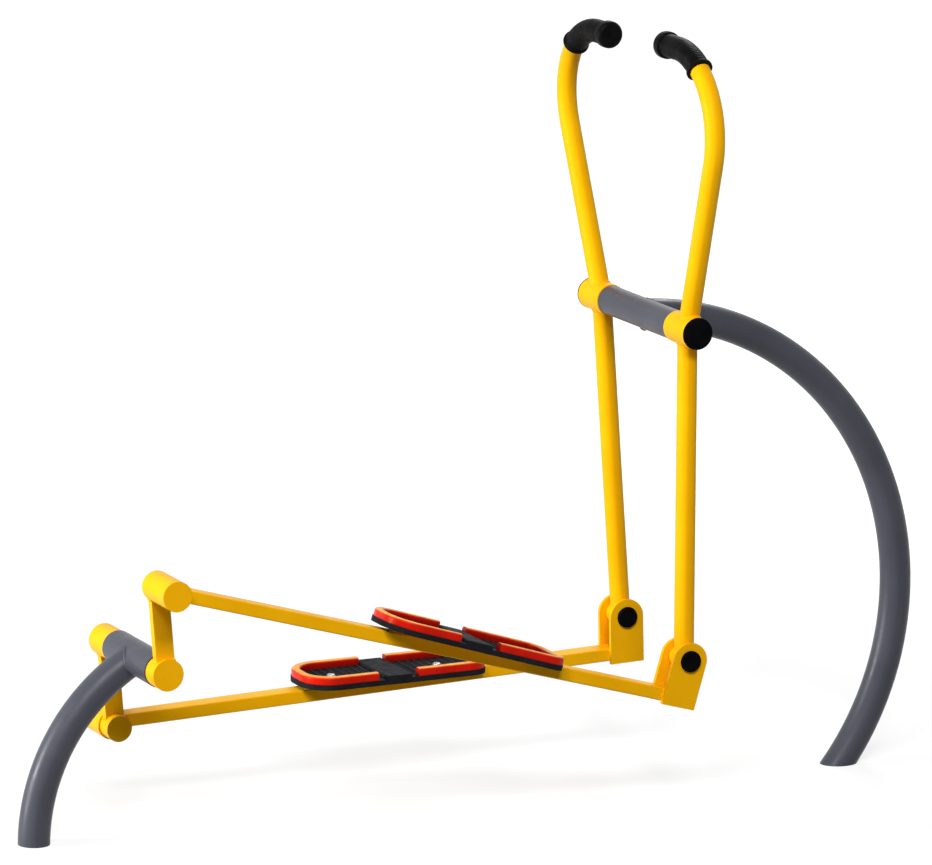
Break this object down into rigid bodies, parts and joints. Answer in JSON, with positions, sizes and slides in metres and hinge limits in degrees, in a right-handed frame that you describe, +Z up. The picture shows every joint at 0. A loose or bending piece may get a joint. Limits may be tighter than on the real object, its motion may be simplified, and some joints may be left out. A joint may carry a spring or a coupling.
{
  "type": "elliptical cross trainer",
  "caption": "Outdoor elliptical cross trainer for children: steel posts, crank at the rear, foot beams with red-rimmed pedals and two swinging hand levers.",
  "frame": {"origin": "on the ground, under the middle of the length, in the plane of the two posts", "axes": "+X from the rear post to the front arch, +Y to the rider's left, +Z up"},
  "size_m": [1.8552, 0.6086, 1.47],
  "materials": {
    "frame_paint": "satin slate grey powder coat",
    "yellow_paint": "glossy golden yellow powder coat",
    "steel": "machined",
    "bolt_steel": "bright zinc plated",
    "grip_rubber": "matt black rubber",
    "black_plastic": "moulded black",
    "tread_plastic": "ribbed black tread",
    "red_plastic": "moulded red",
    "bush_bronze": "plain bearing bronze"
  },
  "bodies": {
    "frame": {"rear_post": "frame_paint", "front_post": "frame_paint", "crank_housing": "frame_paint", "crank_bearings": "steel", "crank_seals": "grip_rubber", "crossbar": "frame_paint", "crossbar_plugs": "steel", "crossbar_axle": "steel", "axle_washers": "steel", "axle_nuts": "steel"},
    "crank": {"crank_shaft": "steel", "bearing_spacer": "steel", "crank_arm_left": "yellow_paint", "crank_arm_right": "yellow_paint"},
    "left_lever": {"hub_sleeve_left": "yellow_paint", "lever_bearings_left": "steel", "upper_tube_left": "yellow_paint", "lower_tube_left": "yellow_paint", "grip_left": "grip_rubber", "hub_cap_left": "black_plastic", "foot_sleeve_left": "yellow_paint", "foot_bushes_left": "bush_bronze"},
    "right_lever": {"hub_sleeve_right": "yellow_paint", "lever_bearings_right": "steel", "upper_tube_right": "yellow_paint", "lower_tube_right": "yellow_paint", "grip_right": "grip_rubber", "hub_cap_right": "black_plastic", "foot_sleeve_right": "yellow_paint", "foot_bushes_right": "bush_bronze"},
    "left_beam": {"beam_tube_left": "yellow_paint", "beam_plug_left": "yellow_paint", "pin_sleeve_left": "yellow_paint", "pin_sleeve_cap_left": "yellow_paint", "crank_pin_left": "steel", "pin_bearings_left": "steel", "clevis_cheeks_left": "yellow_paint", "clevis_bolt_left": "steel", "clevis_nut_left": "steel", "clevis_caps_left": "black_plastic", "pedal_base_left": "tread_plastic", "pedal_rims_left": "red_plastic", "pedal_bracket_left": "yellow_paint", "pedal_bolts_left": "bolt_steel"},
    "right_beam": {"beam_tube_right": "yellow_paint", "beam_plug_right": "yellow_paint", "pin_sleeve_right": "yellow_paint", "pin_sleeve_cap_right": "yellow_paint", "crank_pin_right": "steel", "pin_bearings_right": "steel", "clevis_cheeks_right": "yellow_paint", "clevis_bolt_right": "steel", "clevis_nut_right": "steel", "clevis_caps_right": "black_plastic", "pedal_base_right": "tread_plastic", "pedal_rims_right": "red_plastic", "pedal_bracket_right": "yellow_paint", "pedal_bolts_right": "bolt_steel"}
  },
  "joints": [
    {"name": "crank_spin", "type": "hinge", "parent": "frame", "child": "crank", "pos_m": [-0.6968, 0, 0.338], "axis": [0, 1, 0], "continuous": true},
    {"name": "left_lever_swing", "type": "hinge", "parent": "frame", "child": "left_lever", "pos_m": [0.33903, 0.1825, 0.919], "axis": [0, 1, 0], "range_deg": [-11.5, 15.5]},
    {"name": "right_lever_swing", "type": "hinge", "parent": "frame", "child": "right_lever", "pos_m": [0.33903, -0.1825, 0.919], "axis": [0, 1, 0], "range_deg": [-15.5, 11.5]},
    {"name": "left_beam_pivot", "type": "hinge", "parent": "left_lever", "child": "left_beam", "pos_m": [0.39401, 0.1825, 0.2894], "axis": [0, 1, 0], "range_deg": [-15.5, 11.5]},
    {"name": "right_beam_pivot", "type": "hinge", "parent": "right_lever", "child": "right_beam", "pos_m": [0.34724, -0.1825, 0.28705], "axis": [0, 1, 0], "range_deg": [-11.5, 15.5]}
  ],
  "couplings": [
    {"joint": "right_lever_swing", "follows": "left_lever_swing", "ratio": -1},
    {"joint": "left_beam_pivot", "follows": "left_lever_swing", "ratio": -1},
    {"joint": "right_beam_pivot", "follows": "left_lever_swing", "ratio": 1}
  ]
}
